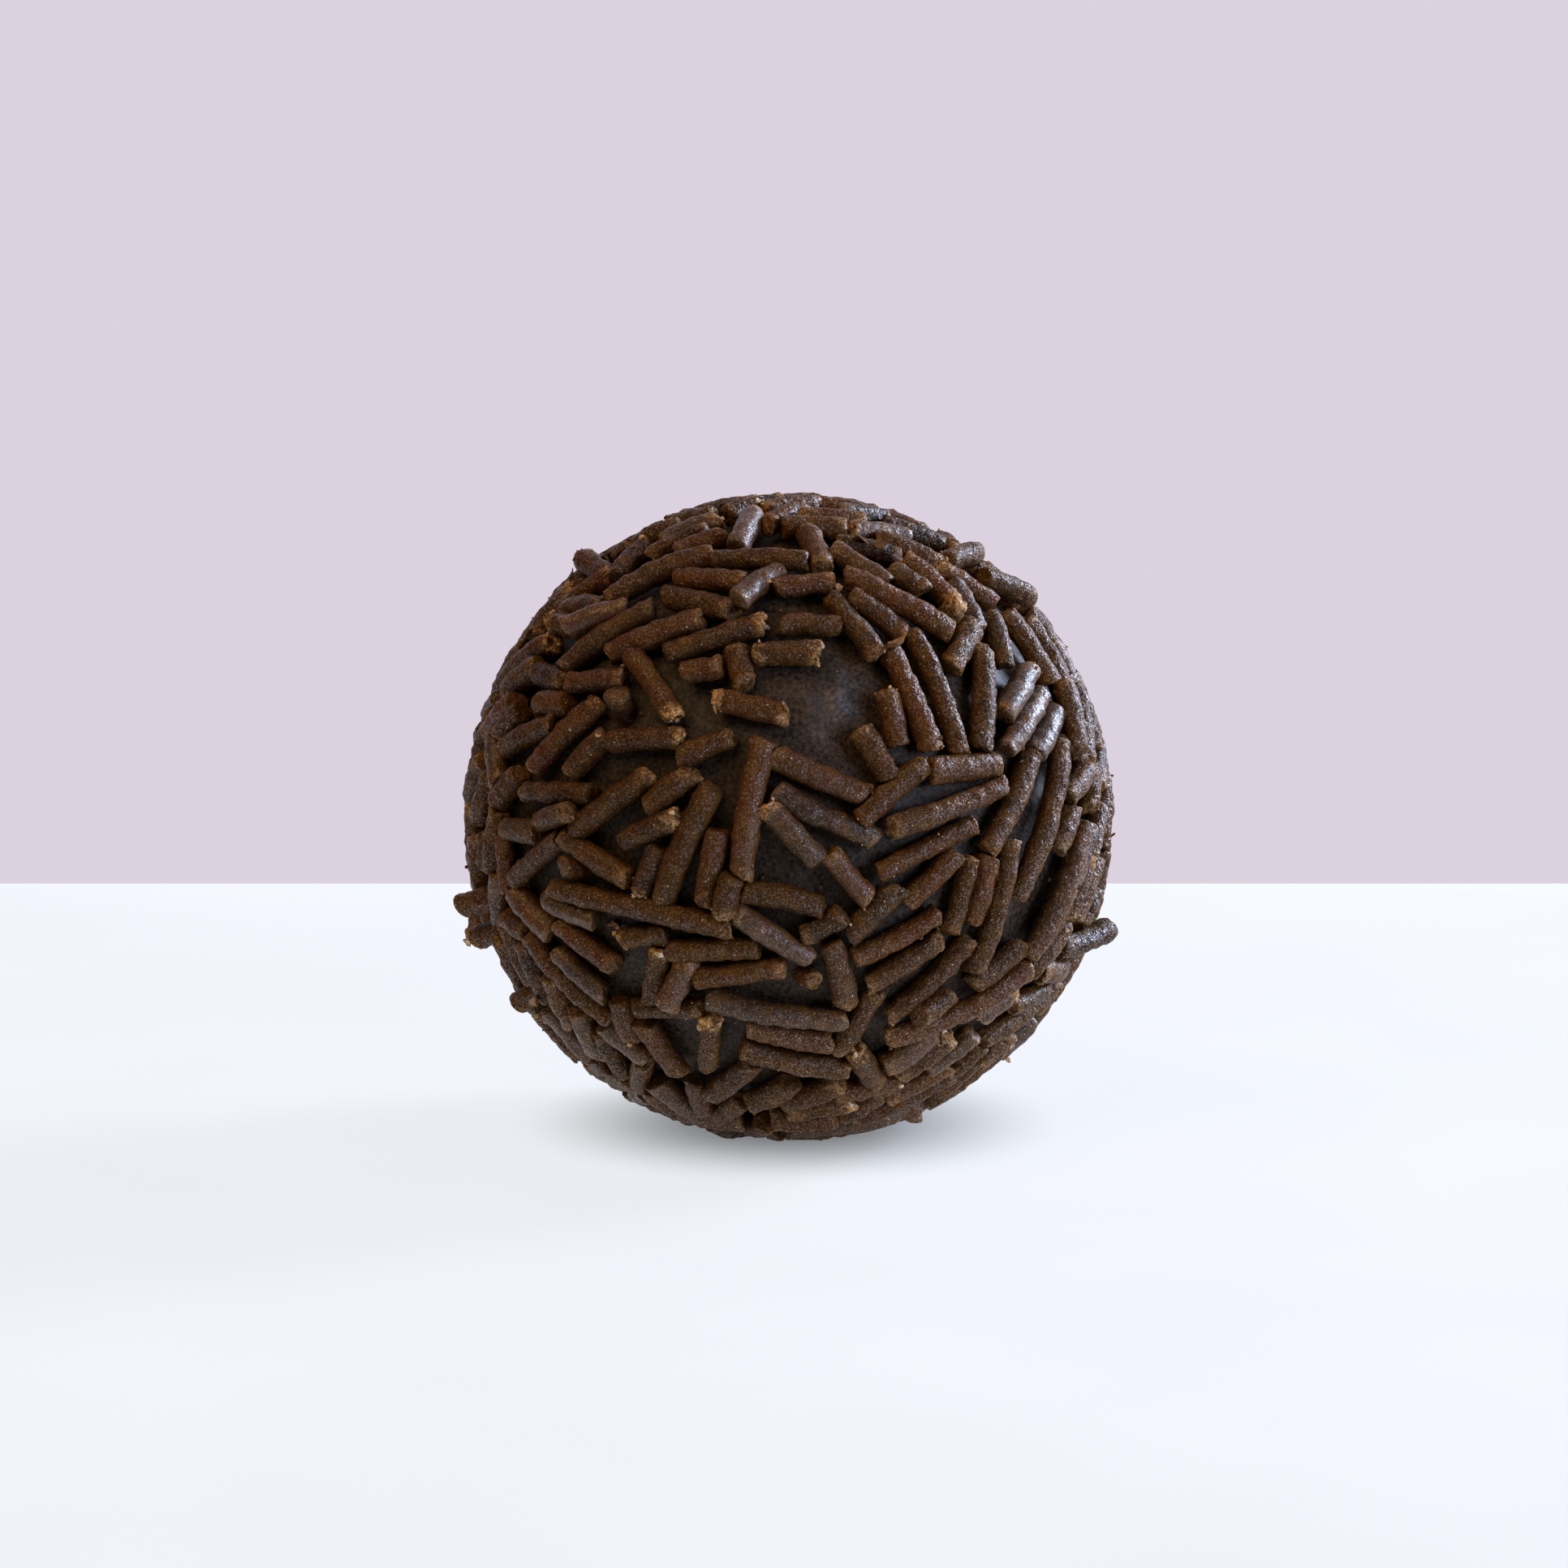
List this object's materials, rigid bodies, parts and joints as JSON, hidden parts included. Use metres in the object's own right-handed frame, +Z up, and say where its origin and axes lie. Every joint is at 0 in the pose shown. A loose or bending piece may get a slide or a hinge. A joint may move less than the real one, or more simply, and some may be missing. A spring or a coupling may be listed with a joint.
{
  "type": "rum truffle",
  "caption": "Round rum truffle: a soft dark chocolate ball rolled in dark chocolate vermicelli strands, standing on a small pressed flat.",
  "frame": {"origin": "the centre of the ball's shadow on the table: under the middle of the ball, at the height of the small flat it stands on", "axes": "+Z is up; the front, the side that the picture shows, faces -Y; +X is to the right seen from the front"},
  "size_m": [0.0341, 0.0335, 0.0328],
  "materials": {
    "chocolate": null
  },
  "bodies": {
    "root": {"truffle": "chocolate"}
  },
  "joints": []
}
